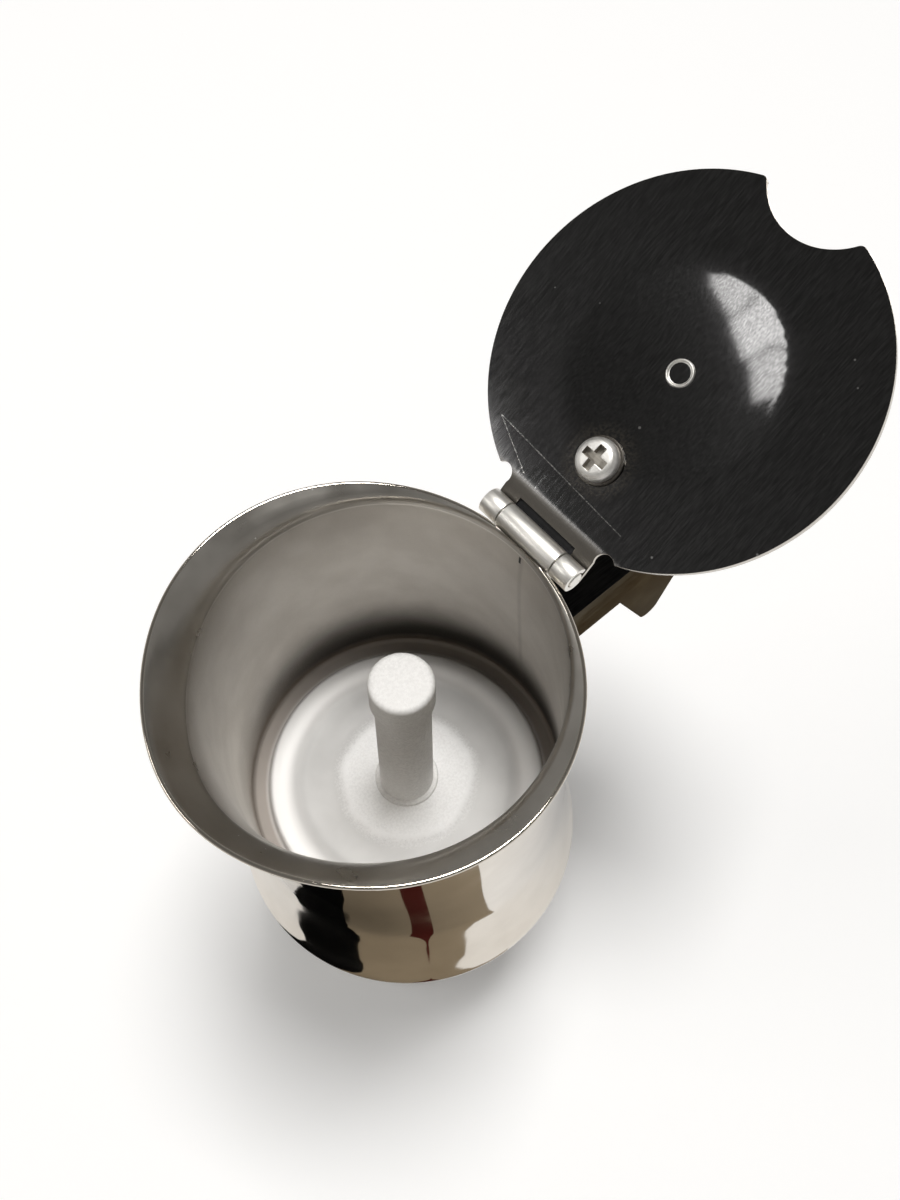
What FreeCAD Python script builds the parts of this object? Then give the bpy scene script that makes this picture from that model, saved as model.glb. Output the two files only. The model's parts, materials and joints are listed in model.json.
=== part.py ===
import FreeCAD, Part
import math
import os

# Stove-top coffee pot, lid standing open. Millimetres.
# Origin at the middle of the foot, +Z up, +X towards the hinge and handle, -X the pouring side.

Vector = FreeCAD.Vector
up = Vector(0, 0, 1)

# Boiler
boiler_height = 50.0
shoulder_width = 6.0
foot_taper = 7.0
foot_round = 3.0
shoulder_round = 4.0
boiler_wall = 1.0
boiler_floor = 2.0
neck_radius = 32.0
neck_wall = 2.0
neck_height = 13.0

# Jug, sections measured down from the rim or up from the skirt's lower edge, the lower ones out from the neck
jug_height = 95.5
jug_wall = 0.9
rim_shift = 7.45
rim_half_length = 36.45
rim_half_width = 38.65
flare_drop = 2.4
flare_shift = 6.2
flare_radius = 35.2
flare_lean = 3.0
throat_drop = 5.6
throat_shift = 4.8
throat_radius = 34.0
throat_lean = 5.7
mouth_drop = 15.0
mouth_shift = 4.2
mouth_radius = 33.6
mouth_lean = 4.5
waist_drop = 38.0
waist_shift = 2.4
waist_radius = 34.1
waist_lean = 2.0
belly_rise = 29.0
belly_out = 3.0
bell_rise = 20.0
bell_out = 4.2
skirt_rise = 10.0
skirt_out = 6.3
hem_rise = 2.6
hem_out = 7.7
edge_out = 7.2
pour_lip = 1.9
pour_lip_power = 6

# Collector floor, column and thread collar inside the jug
floor_rise = 27.3
floor_thickness = 5.0
floor_ring_radius = 30.1
floor_ring_width = 6.0
floor_ring_height = 1.4
floor_ring_round = 0.6
hub_radius = 14.4
hub_height = 0.5
column_base_radius = 5.9
column_top_radius = 5.5
column_bore_radius = 3.6
column_collar_radius = 7.0
column_collar_height = 0.8
column_top_drop = 17.0
cap_radius = 6.35
cap_height = 8.0
cap_roof = 2.6
cap_round = 0.9
outlet_radius = 1.6
collar_wall = 2.2
collar_gap = 1.5
collar_seat_width = 5.3

# Gasket and filter plate
gasket_thickness = 3.4
gasket_width = 6.9
filter_thickness = 0.8
filter_lip = 1.5
hole_radius = 0.8
hole_pitch = 4.2

# Funnel
funnel_depth = 18.5
funnel_cone_height = 5.0
funnel_wall = 0.6
funnel_flange_width = 2.0
stem_radius = 4.4
stem_wall = 0.6
stem_floor_gap = 4.0
stem_socket_length = 3.5
screen_thickness = 0.6

# Safety valve, on an axis square to the boiler's wall
valve_height = 27.0
boss_radius = 7.0
boss_proud = 0.8
boss_depth = 2.2
valve_washer_radius = 6.4
valve_washer_thickness = 1.0
valve_hex = 12.0
valve_hex_height = 4.5
valve_nose_radius = 4.2
valve_nose_height = 2.5
valve_shank_radius = 4.0
valve_shank_length = 9.3
valve_bore_radius = 2.4
valve_bore_depth = 12.0
valve_nut_height = 3.2
pin_stem_radius = 1.1
pin_head_height = 1.2
pin_tip = 0.8
valve_spring_wire = 0.7

# Hinge
hinge_out = 2.0
hinge_rise = 0.1
knuckle_radius = 2.6
hinge_pin_radius = 1.5
middle_knuckle_length = 13.6
ear_length = 4.2
pin_end = 0.2
leaf_height = 12.0
leaf_thickness = 1.8
leaf_inset = 0.2

# Lid
lid_open_angle = 146.0
lid_radius = 35.3
lid_reach = 38.6
lid_thickness = 0.9
lid_gap = 0.6
dish_radius = 19.2
dish_depth = 2.3
tab_length = 14.0
slot_length = 1.4
scallop_radius = 2.0
scallop_reach = 5.2
scallop_offset = 13.1
notch_radius = 12.5
notch_depth = 7.0
notch_corner_round = 1.2
lid_rim_rise = 1.5
screw_reach = 18.3
screw_radius = 2.0
screw_head_radius = 4.0
screw_head_height = 2.2
screw_head_round = 1.4
screw_depth = 6.0
recess_length = 5.0
recess_width = 1.5
recess_depth = 1.2
screw_washer_radius = 4.6
screw_washer_thickness = 0.6
rivet_radius = 1.5
rivet_head_radius = 2.65
rivet_head_height = 0.6
rivet_depth = 5.0
grip_front = 8.0
grip_back = 15.5
grip_half_width = 6.5
grip_height = 10.0
grip_slope = 4.0
grip_round = 1.6

# Handle
handle_half_width = 8.0
handle_wall = 1.2
arm_top_drop = 27.0
arm_height = 13.4
arm_reach = 82.0
grip_tip_reach = 67.5
grip_tip_drop = 66.0
grip_tip_round = 3.0
grip_root_reach = 53.7
handle_corner_round = 4.0
pad_thickness = 1.2
pad_margin = 3.0

# Clearances
running_clearance = 0.05
loose_clearance = 0.3
neck_clearance = 0.4
lift_gap = 0.3

# Heights and places that follow from the sizes above
boiler_radius = neck_radius + shoulder_width
foot_radius = boiler_radius - foot_taper
hem_radius = neck_radius + hem_out
skirt_z = boiler_height
rim_z = skirt_z + jug_height
neck_top_z = boiler_height + neck_height
floor_z = skirt_z + floor_rise
floor_under_z = floor_z - floor_thickness
funnel_top_z = neck_top_z + funnel_wall
gasket_under_z = funnel_top_z + lift_gap
gasket_top_z = gasket_under_z + gasket_thickness
collar_inner_radius = neck_radius + loose_clearance
collar_outer_radius = collar_inner_radius + collar_wall
gasket_outer_radius = collar_inner_radius - loose_clearance
gasket_inner_radius = gasket_outer_radius - gasket_width
basket_radius = neck_radius - neck_wall - neck_clearance
hinge_x = rim_half_length - rim_shift + hinge_out
hinge_z = rim_z + hinge_rise
lid_under_z = rim_z + lid_gap
lid_top_z = lid_under_z + lid_thickness
lid_rim_z = lid_top_z + lid_rim_rise
lid_centre_x = hinge_x - lid_reach
section_points = 24
cut_margin = 5.0
same_place = 0.01


# Outlines and solids

def rounded_outline(points):
    """Closed edges through (a, b) corners, a third number rounding that corner."""
    edges = []
    ends = []
    count = len(points)
    for i in range(count):
        corner = Vector(points[i][0], 0, points[i][1])
        radius = points[i][2] if len(points[i]) > 2 else 0.0
        before = points[i - 1]
        after = points[(i + 1) % count]
        to_before = (Vector(before[0], 0, before[1]) - corner).normalize()
        to_after = (Vector(after[0], 0, after[1]) - corner).normalize()
        if radius == 0.0:
            ends.append((corner, corner))
            continue
        half = to_before.getAngle(to_after) / 2
        start = corner + to_before * (radius / math.tan(half))
        finish = corner + to_after * (radius / math.tan(half))
        middle_way = (to_before + to_after).normalize()
        middle = corner + middle_way * (radius / math.sin(half) - radius)
        edges.append(Part.Arc(start, middle, finish).toShape())
        ends.append((start, finish))
    for i in range(count):
        leave = ends[i][1]
        reach = ends[(i + 1) % count][0]
        if leave.distanceToPoint(reach) > 1e-6:
            edges.append(Part.LineSegment(leave, reach).toShape())
    return Part.Wire(Part.__sortEdges__(edges))


def turned(points):
    """Solid of revolution about Z from (radius, height) corners."""
    face = Part.Face(rounded_outline(points))
    return face.revolve(Vector(0, 0, 0), up, 360)


def plate_across(points, half_width):
    """Plate across Y from (x, z) corners."""
    face = Part.Face(rounded_outline(points))
    face.translate(Vector(0, -half_width, 0))
    return face.extrude(Vector(0, 2 * half_width, 0))


def rod(radius, length, base, direction):
    return Part.makeCylinder(radius, length, base, direction)


def box_between(low, high):
    size = high - low
    return Part.makeBox(size.x, size.y, size.z, low)


def hex_bar(across_flats, length):
    corner = across_flats / math.sqrt(3)
    points = []
    for i in range(7):
        angle = math.radians(60 * i)
        points.append(Vector(corner * math.cos(angle), corner * math.sin(angle), 0))
    return Part.Face(Part.makePolygon(points)).extrude(Vector(0, 0, length))


def hole_pattern(outer_radius, low, high):
    """Drills for rings of holes, six more in each ring outwards."""
    drills = [rod(hole_radius, high - low, Vector(0, 0, low), up)]
    rings = int((outer_radius - 2 * hole_radius) / hole_pitch)
    for ring in range(1, rings + 1):
        for i in range(6 * ring):
            angle = 2 * math.pi * i / (6 * ring)
            place = Vector(ring * hole_pitch * math.cos(angle), ring * hole_pitch * math.sin(angle), low)
            drills.append(rod(hole_radius, high - low, place, up))
    return Part.makeCompound(drills)


# Jug shell

def jug_section(z, shift, half_length, half_width, lean, lip):
    """Closed ring of the jug, shifted and leaning towards the pouring side and drawn out there into a lip."""
    tilt = math.radians(lean)
    points = []
    for i in range(section_points):
        angle = 2 * math.pi * i / section_points
        along = half_length * math.cos(angle) - lip * max(0.0, -math.cos(angle)) ** pour_lip_power
        across = half_width * math.sin(angle)
        points.append(Vector(along * math.cos(tilt) - shift, across, z + along * math.sin(tilt)))
    curve = Part.BSplineCurve()
    curve.interpolate(points, PeriodicFlag=True)
    return Part.Wire(curve.toShape())


def jug_solid(grow, reach_out):
    """The jug's filled form, its rings grown by one amount and its ends carried on by another."""
    upright = [
        (0.0, edge_out),
        (hem_rise, hem_out),
        (skirt_rise, skirt_out),
        (bell_rise, bell_out),
        (belly_rise, belly_out),
    ]
    leaning = [
        (waist_drop, waist_shift, waist_radius, waist_lean, 0.0),
        (mouth_drop, mouth_shift, mouth_radius, mouth_lean, pour_lip / 3),
        (throat_drop, throat_shift, throat_radius, throat_lean, pour_lip),
        (flare_drop, flare_shift, flare_radius, flare_lean, pour_lip),
    ]
    wires = []
    for rise, out in upright:
        radius = neck_radius + out + grow
        wires.append(jug_section(skirt_z + rise, 0.0, radius, radius, 0.0, 0.0))
    for drop, shift, radius, lean, lip in leaning:
        wires.append(jug_section(rim_z - drop, shift, radius + grow, radius + grow, lean, lip))
    wires.append(jug_section(rim_z, rim_shift, rim_half_length + grow, rim_half_width + grow, 0.0, pour_lip))
    solid = Part.makeLoft(wires, True, False)
    if reach_out > 0.0:
        low = Part.Face(wires[0]).extrude(Vector(0, 0, -reach_out))
        high = Part.Face(wires[-1]).extrude(Vector(0, 0, reach_out))
        solid = solid.fuse([low, high])
    return solid


def jug_shell(outer, inner):
    """Wall with a relief in the rim, in which the hinge's knuckles turn."""
    reach = ear_reach() + loose_clearance
    relief = across_hinge(knuckle_radius + loose_clearance, -reach, 2 * reach)
    return outer.cut([inner, relief])


def collector_floor(inner):
    disc = rod(hem_radius, floor_thickness, Vector(0, 0, floor_under_z), up).common(inner)
    ring_inner = floor_ring_radius - floor_ring_width
    ring = turned([
        (ring_inner, floor_z),
        (floor_ring_radius, floor_z),
        (floor_ring_radius, floor_z + floor_ring_height, floor_ring_round),
        (ring_inner + floor_ring_height, floor_z + floor_ring_height, floor_ring_round),
    ])
    hub = rod(hub_radius, hub_height, Vector(0, 0, floor_z), up)
    bore = rod(column_base_radius, floor_rise, Vector(0, 0, floor_under_z), up)
    return disc.fuse([ring, hub]).cut(bore).removeSplitter()


def column_tube():
    base_z = floor_z + hub_height
    neck_z = rim_z - column_top_drop - cap_roof
    tube = turned([
        (column_bore_radius, floor_under_z),
        (column_base_radius, floor_under_z),
        (column_base_radius, base_z),
        (column_collar_radius, base_z),
        (column_collar_radius, base_z + column_collar_height, column_collar_height / 2),
        (column_base_radius, base_z + column_collar_height),
        (column_top_radius, neck_z),
        (column_bore_radius, neck_z),
    ])
    outlet_z = rim_z - column_top_drop - cap_height - outlet_radius
    for way in (Vector(1, 0, 0), Vector(0, 1, 0)):
        tube = tube.cut(rod(outlet_radius, cap_radius, Vector(0, 0, outlet_z), way))
    return tube


def column_cap(tube):
    top_z = rim_z - column_top_drop
    under_z = top_z - cap_height
    cap = turned([(0, under_z), (cap_radius, under_z), (cap_radius, top_z, cap_round), (0, top_z)])
    core = rod(column_bore_radius, cap_height - cap_roof, Vector(0, 0, under_z), up)
    return cap.cut([tube, core])


def thread_collar():
    seat_radius = collar_inner_radius - collar_seat_width
    return turned([
        (collar_inner_radius, skirt_z + collar_gap),
        (collar_outer_radius, skirt_z + collar_gap),
        (collar_outer_radius, floor_under_z),
        (seat_radius, floor_under_z),
        (seat_radius, gasket_top_z),
        (collar_inner_radius, gasket_top_z),
    ])


def gasket():
    ring = turned([
        (gasket_inner_radius, gasket_under_z),
        (gasket_outer_radius, gasket_under_z),
        (gasket_outer_radius, gasket_top_z),
        (gasket_inner_radius, gasket_top_z),
    ])
    middle_z = (gasket_under_z + gasket_top_z) / 2
    groove_radius = gasket_inner_radius + filter_lip
    groove_under = Vector(0, 0, middle_z - filter_thickness / 2)
    return ring.cut(rod(groove_radius, filter_thickness, groove_under, up))


def filter_plate():
    middle_z = (gasket_under_z + gasket_top_z) / 2
    low = middle_z - filter_thickness / 2
    disc = rod(gasket_inner_radius + filter_lip, filter_thickness, Vector(0, 0, low), up)
    return disc.cut(hole_pattern(gasket_inner_radius, low, low + filter_thickness))


# Boiler, funnel and safety valve

def wall_line():
    """Lower and upper ends of the boiler's slanted outer wall, as (radius, height)."""
    return (foot_radius, foot_round), (boiler_radius, boiler_height - lift_gap - shoulder_round)


def valve_place():
    """Where the valve's axis leaves the wall, and the turn that lays +Z along it."""
    low, high = wall_line()
    share = (valve_height - low[1]) / (high[1] - low[1])
    radius = low[0] + share * (high[0] - low[0])
    outward = Vector(0, high[1] - low[1], low[0] - high[0]).normalize()
    turn = FreeCAD.Rotation(up, outward)
    return FreeCAD.Placement(Vector(0, radius, valve_height), turn)


def on_valve_axis(shape):
    placed = shape.copy()
    placed.Placement = valve_place().multiply(placed.Placement)
    return placed


def valve_drill(top):
    """Clearance hole for the valve's shank, from inside the boiler up to a height on its axis."""
    low = -boss_depth - valve_nut_height - cut_margin
    return rod(valve_shank_radius + running_clearance, top - low, Vector(0, 0, low), up)


def boiler_shell():
    shoulder_z = boiler_height - lift_gap
    low, high = wall_line()
    neck_inner = neck_radius - neck_wall
    shell = turned([
        (0, 0),
        (low[0], 0, foot_round),
        (high[0], shoulder_z, shoulder_round),
        (neck_radius, shoulder_z),
        (neck_radius, neck_top_z),
        (neck_inner, neck_top_z),
        (neck_inner, shoulder_z - boiler_wall),
        (high[0] - boiler_wall, shoulder_z - boiler_wall, shoulder_round - boiler_wall),
        (low[0] - boiler_wall, boiler_floor, foot_round - boiler_wall),
        (0, boiler_floor),
    ])
    boss = rod(boss_radius, boss_depth + boss_proud, Vector(0, 0, -boss_depth), up)
    drill = valve_drill(boss_proud + cut_margin)
    return shell.fuse(on_valve_axis(boss)).cut(on_valve_axis(drill)).removeSplitter()


def valve_washer():
    ring = rod(valve_washer_radius, valve_washer_thickness, Vector(0, 0, boss_proud), up)
    return on_valve_axis(ring.cut(valve_drill(valve_seat())))


def valve_seat():
    """Where the valve's hexagon seats, along its axis."""
    return boss_proud + valve_washer_thickness


def valve_inner_end():
    return valve_seat() - valve_shank_length


def valve_outer_end():
    return valve_seat() + valve_hex_height + valve_nose_height


def valve_body():
    seat = valve_seat()
    head = hex_bar(valve_hex, valve_hex_height)
    head.translate(Vector(0, 0, seat))
    nose = rod(valve_nose_radius, valve_nose_height, Vector(0, 0, seat + valve_hex_height), up)
    shank = rod(valve_shank_radius, valve_shank_length, Vector(0, 0, valve_inner_end()), up)
    bore = rod(valve_bore_radius, valve_bore_depth, Vector(0, 0, valve_inner_end()), up)
    vent_length = valve_outer_end() - valve_inner_end()
    vent = rod(pin_stem_radius + running_clearance, vent_length, Vector(0, 0, valve_inner_end()), up)
    return on_valve_axis(head.fuse([nose, shank]).cut([bore, vent]).removeSplitter())


def valve_nut():
    nut = hex_bar(valve_hex, valve_nut_height)
    nut.translate(Vector(0, 0, -boss_depth - valve_nut_height))
    return on_valve_axis(nut.cut(valve_drill(0)))


def valve_pin():
    inner = valve_inner_end()
    head = rod(valve_bore_radius - running_clearance, pin_head_height, Vector(0, 0, inner), up)
    length = valve_outer_end() - inner + pin_tip
    stem = rod(pin_stem_radius, length, Vector(0, 0, inner), up)
    return on_valve_axis(head.fuse(stem).removeSplitter())


def valve_spring():
    low = Vector(0, 0, valve_inner_end() + pin_head_height)
    length = valve_bore_depth - pin_head_height
    outer_radius = pin_stem_radius + running_clearance + valve_spring_wire
    coil = rod(outer_radius, length, low, up)
    return on_valve_axis(coil.cut(rod(pin_stem_radius + running_clearance, length, low, up)))


def funnel_levels():
    """Heights of the basket's lower corner and of the cone's end."""
    corner_z = neck_top_z - funnel_depth
    return corner_z, corner_z - funnel_cone_height


def funnel_basket():
    corner_z, cone_z = funnel_levels()
    socket = stem_radius + funnel_wall
    return turned([
        (basket_radius + funnel_flange_width, neck_top_z),
        (basket_radius + funnel_flange_width, funnel_top_z),
        (basket_radius - funnel_wall, funnel_top_z),
        (basket_radius - funnel_wall, corner_z),
        (stem_radius, cone_z),
        (stem_radius, cone_z - stem_socket_length),
        (socket, cone_z - stem_socket_length),
        (socket, cone_z - funnel_wall),
        (basket_radius, corner_z - funnel_wall),
        (basket_radius, neck_top_z),
    ])


def funnel_stem():
    top_z = funnel_levels()[1]
    low = Vector(0, 0, boiler_floor + stem_floor_gap)
    length = top_z - low.z
    tube = rod(stem_radius, length, low, up)
    return tube.cut(rod(stem_radius - stem_wall, length, low, up))


def funnel_screen():
    low = funnel_levels()[0]
    disc = rod(basket_radius - funnel_wall, screen_thickness, Vector(0, 0, low), up)
    return disc.cut(hole_pattern(basket_radius - funnel_wall, low, low + screen_thickness))


# Hinge and handle

def across_hinge(radius, start, length):
    return rod(radius, length, Vector(hinge_x, start, hinge_z), Vector(0, 1, 0))


def hinge_bracket(outer):
    half = middle_knuckle_length / 2
    knuckle = across_hinge(knuckle_radius, -half, middle_knuckle_length)
    low = Vector(0, leaf_inset - half, rim_z - leaf_height)
    high = Vector(hinge_x - knuckle_radius + leaf_thickness, half - leaf_inset, rim_z)
    leaf = box_between(low, high).cut(outer)
    pieces = sorted(leaf.Solids, key=lambda piece: piece.CenterOfMass.x)
    bracket = knuckle.fuse(pieces[-1]).removeSplitter()
    return bracket.cut(across_hinge(hinge_pin_radius, -half, middle_knuckle_length))


def ear_start():
    return middle_knuckle_length / 2 + loose_clearance


def ear_reach():
    return ear_start() + ear_length


def hinge_pin():
    reach = ear_reach() + pin_end
    return across_hinge(hinge_pin_radius, -reach, 2 * reach)


def handle_channel(pad_face):
    """Folded sheet: an arm with a pointed grip, open below, its hollow one wall smaller."""
    top_z = rim_z - arm_top_drop
    under_z = top_z - arm_height
    tip_z = rim_z - grip_tip_drop
    folded = plate_across([
        (0, top_z),
        (arm_reach, top_z, handle_corner_round),
        (grip_tip_reach, tip_z, grip_tip_round),
        (grip_root_reach, under_z),
        (0, under_z),
    ], handle_half_width)
    hollow = plate_across([
        (0, top_z - handle_wall),
        (arm_reach - 2 * handle_wall, top_z - handle_wall, handle_corner_round - handle_wall),
        (grip_tip_reach - 2 * handle_wall, tip_z),
        (0, tip_z - cut_margin),
    ], handle_half_width - handle_wall)
    return folded.cut([hollow, pad_face]).removeSplitter()


def handle_pad(pad_face, outer):
    """Curved plate between the jug's wall and the end of the handle."""
    low = Vector(0, -handle_half_width - pad_margin, rim_z - arm_top_drop - arm_height - pad_margin)
    high = Vector(arm_reach, handle_half_width + pad_margin, rim_z - arm_top_drop + pad_margin)
    return box_between(low, high).common(pad_face).cut(outer)


# Lid, drawn closed and then swung open about the hinge

def swung_open(shape):
    opened = shape.copy()
    opened.rotate(Vector(hinge_x, 0, hinge_z), Vector(0, 1, 0), lid_open_angle)
    return opened


def lid_post(radius, reach, low, high):
    """Upright cylinder at a distance from the hinge line."""
    return rod(radius, high - low, Vector(hinge_x - reach, 0, low), up)


def tab_box(reach, low_y, high_y):
    """Block through the lid's thickness, from the hinge line inwards."""
    return box_between(Vector(hinge_x - reach, low_y, lid_under_z), Vector(hinge_x, high_y, lid_top_z))


def dished_disc():
    """Round sheet, pressed outwards in the middle into a shallow dish."""
    edges = []
    for z in (lid_under_z, lid_top_z):
        crown = Vector(0, 0, z + dish_depth)
        halfway = Vector(dish_radius / 2, 0, z + dish_depth * 3 / 4)
        crease = Vector(dish_radius, 0, z)
        edges.append(Part.Arc(crown, halfway, crease).toShape())
        edges.append(Part.LineSegment(crease, Vector(lid_radius, 0, z)).toShape())
    for radius, rise in ((0.0, dish_depth), (lid_radius, 0.0)):
        low = Vector(radius, 0, lid_under_z + rise)
        edges.append(Part.LineSegment(low, low + up * lid_thickness).toShape())
    face = Part.Face(Part.Wire(Part.__sortEdges__(edges)))
    disc = face.revolve(Vector(0, 0, 0), up, 360)
    disc.translate(Vector(lid_centre_x, 0, 0))
    return disc


def lid_rim():
    """Edge of the sheet turned up on the outer face, from one scallop round to the other."""
    ring = lid_post(lid_radius, lid_reach, lid_top_z, lid_rim_z)
    hollow = lid_post(lid_radius - lid_thickness, lid_reach, lid_top_z, lid_rim_z)
    clear = scallop_offset + scallop_radius
    hinge_end = box_between(Vector(lid_centre_x, -clear, lid_top_z), Vector(hinge_x, clear, lid_rim_z))
    return ring.cut([hollow, hinge_end])


def notch_reach():
    """From the hinge line to the middle of the notch's circle."""
    return lid_reach + lid_radius - notch_depth + notch_radius


def notch_corners(plate):
    """Upright edges where the notch breaks the round outline."""
    corners = []
    for edge in plate.Edges:
        box = edge.BoundBox
        from_middle = math.hypot(box.XMin - lid_centre_x, box.YMin)
        from_notch = math.hypot(box.XMin - hinge_x + notch_reach(), box.YMin)
        upright = max(box.XLength, box.YLength) < same_place
        on_both = max(abs(from_middle - lid_radius), abs(from_notch - notch_radius)) < same_place
        if upright and on_both:
            corners.append(edge)
    return corners


def lid_plate():
    reach = ear_reach()
    tab = tab_box(tab_length, -reach, reach)
    cuts = [lid_post(notch_radius, notch_reach(), lid_under_z, lid_rim_z)]
    for side in (-1, 1):
        scallop = lid_post(scallop_radius, scallop_reach, lid_under_z, lid_top_z)
        scallop.translate(Vector(0, side * scallop_offset, 0))
        cuts.append(scallop)
        low_y, high_y = sorted((side * reach, side * (reach + cut_margin)))
        cuts.append(tab_box(scallop_reach, low_y, high_y))
    cuts.append(tab_box(knuckle_radius + slot_length, -ear_start(), ear_start()))
    plate = dished_disc().fuse([tab, lid_rim()]).cut(cuts).removeSplitter()
    plate = plate.makeFillet(notch_corner_round, notch_corners(plate))
    ears = [across_hinge(knuckle_radius, start, ear_length) for start in (ear_start(), -reach)]
    holes = [
        across_hinge(hinge_pin_radius + running_clearance, -reach, 2 * reach),
        lid_post(screw_radius + running_clearance, screw_reach, lid_under_z, lid_top_z + dish_depth),
        lid_post(rivet_radius + running_clearance, lid_reach, lid_under_z, lid_top_z + dish_depth),
    ]
    return swung_open(plate.fuse(ears).cut(holes).removeSplitter())


def lid_grip():
    """Thumb piece on the outer face, over the screw and the rivet."""
    near = hinge_x - screw_reach + grip_back
    far = lid_centre_x - grip_front
    body = plate_across([
        (near, lid_top_z),
        (near - grip_slope, lid_top_z + grip_height, grip_round),
        (far + grip_slope, lid_top_z + grip_height, grip_round),
        (far, lid_top_z),
    ], grip_half_width)
    holes = [
        lid_post(screw_radius, screw_reach, lid_top_z, lid_top_z + screw_depth),
        lid_post(rivet_radius, lid_reach, lid_top_z, lid_top_z + dish_depth + rivet_depth),
    ]
    above = sorted(body.cut(holes + [dished_disc()]).Solids, key=lambda piece: piece.Volume)
    return swung_open(above[-1])


def lid_rivet():
    seat_z = lid_under_z + dish_depth * (1 - (rivet_head_radius / dish_radius) ** 2)
    head = lid_post(rivet_head_radius, lid_reach, seat_z - rivet_head_height, seat_z)
    shank = lid_post(rivet_radius, lid_reach, seat_z, lid_top_z + dish_depth + rivet_depth)
    return swung_open(head.fuse(shank).removeSplitter())


def screw_washer():
    low = lid_under_z - screw_washer_thickness
    ring = lid_post(screw_washer_radius, screw_reach, low, lid_under_z)
    return swung_open(ring.cut(lid_post(screw_radius + running_clearance, screw_reach, low, lid_under_z)))


def lid_screw():
    seat_z = lid_under_z - screw_washer_thickness
    head = turned([
        (0, 0),
        (screw_head_radius, 0),
        (screw_head_radius, -screw_head_height, screw_head_round),
        (0, -screw_head_height),
    ])
    head.translate(Vector(hinge_x - screw_reach, 0, seat_z))
    shank = lid_post(screw_radius, screw_reach, seat_z, lid_top_z + screw_depth)
    screw = head.fuse(shank).removeSplitter()
    place = Vector(hinge_x - screw_reach, 0, seat_z - screw_head_height + recess_depth / 2)
    for length, width in ((recess_length, recess_width), (recess_width, recess_length)):
        half = Vector(length / 2, width / 2, recess_depth / 2)
        screw = screw.cut(box_between(place - half, place + half))
    return swung_open(screw)


# Build and write every piece

def build():
    outer = jug_solid(0.0, 0.0)
    inner = jug_solid(-jug_wall, cut_margin)
    pad_face = jug_solid(pad_thickness, cut_margin)
    tube = column_tube()
    return {
        "boiler_shell": boiler_shell(),
        "valve_washer": valve_washer(),
        "valve_body": valve_body(),
        "valve_nut": valve_nut(),
        "valve_pin": valve_pin(),
        "valve_spring": valve_spring(),
        "funnel_basket": funnel_basket(),
        "funnel_stem": funnel_stem(),
        "funnel_screen": funnel_screen(),
        "gasket": gasket(),
        "filter_plate": filter_plate(),
        "jug_shell": jug_shell(outer, inner),
        "collector_floor": collector_floor(inner),
        "column_tube": tube,
        "column_cap": column_cap(tube),
        "thread_collar": thread_collar(),
        "hinge_bracket": hinge_bracket(outer),
        "hinge_pin": hinge_pin(),
        "handle_channel": handle_channel(pad_face),
        "handle_pad": handle_pad(pad_face, outer),
        "lid_plate": lid_plate(),
        "lid_grip": lid_grip(),
        "lid_rivet": lid_rivet(),
        "screw_washer": screw_washer(),
        "lid_screw": lid_screw(),
    }


os.makedirs("parts", exist_ok=True)
for node, shape in build().items():
    print(node, shape.isValid(), len(shape.Solids), round(shape.Volume, 1))
    shape.exportStep("parts/" + node + ".step")
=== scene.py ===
import bmesh
import bpy
import json
import math
from mathutils import Matrix, Vector


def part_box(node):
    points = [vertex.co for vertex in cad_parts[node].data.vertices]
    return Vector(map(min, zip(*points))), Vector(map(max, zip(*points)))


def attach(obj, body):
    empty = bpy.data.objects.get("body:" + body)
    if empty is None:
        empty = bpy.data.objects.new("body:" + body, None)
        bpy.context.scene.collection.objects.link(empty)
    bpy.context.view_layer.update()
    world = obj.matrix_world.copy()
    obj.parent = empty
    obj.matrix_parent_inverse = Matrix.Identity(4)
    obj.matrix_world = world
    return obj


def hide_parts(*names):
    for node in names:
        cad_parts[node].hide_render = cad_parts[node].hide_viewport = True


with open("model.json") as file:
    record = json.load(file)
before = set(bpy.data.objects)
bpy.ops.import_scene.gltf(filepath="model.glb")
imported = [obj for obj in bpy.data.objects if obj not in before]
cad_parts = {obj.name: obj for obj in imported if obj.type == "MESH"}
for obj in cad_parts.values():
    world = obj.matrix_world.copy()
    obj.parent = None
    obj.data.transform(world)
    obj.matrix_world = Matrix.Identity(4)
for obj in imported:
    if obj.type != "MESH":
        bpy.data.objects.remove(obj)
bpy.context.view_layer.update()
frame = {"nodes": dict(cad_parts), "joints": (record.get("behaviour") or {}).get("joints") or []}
print("frame loaded:", len(frame["nodes"]), "nodes")

mm = 0.001


# Shared places, read from the frame

lidJoint = next(j for j in frame["joints"] if j["name"] == "lid_hinge")
hingePoint = Vector(lidJoint["pos_m"])
lidOpenAngle = -math.radians(lidJoint["range_deg"][0])
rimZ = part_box("jug_shell")[1].z
lidTurn = Matrix.Translation(hingePoint) @ Matrix.Rotation(lidOpenAngle, 4, "Y")


# Small helpers

def finishMesh(bm, name, body, materials, replaced, smoothAngle):
    mesh = bpy.data.meshes.new(name)
    bm.to_mesh(mesh)
    bm.free()
    piece = bpy.data.objects.new(name, mesh)
    bpy.context.scene.collection.objects.link(piece)
    for material in materials:
        mesh.materials.append(material)
    mesh.shade_smooth()
    mesh.set_sharp_from_angle(angle=math.radians(smoothAngle))
    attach(piece, body)
    if replaced:
        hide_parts(*replaced)


def bevelEdges(bm, edges, width, segments):
    bmesh.ops.bevel(bm, geom=list(edges), offset=width * mm, offset_type="OFFSET", affect="EDGES",
                    segments=segments, profile=0.5, material=-1, clamp_overlap=True)


def sharpEdges(bm, degrees):
    limit = math.radians(degrees)
    return [e for e in bm.edges if e.is_manifold and e.calc_face_angle(0.0) > limit]


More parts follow.
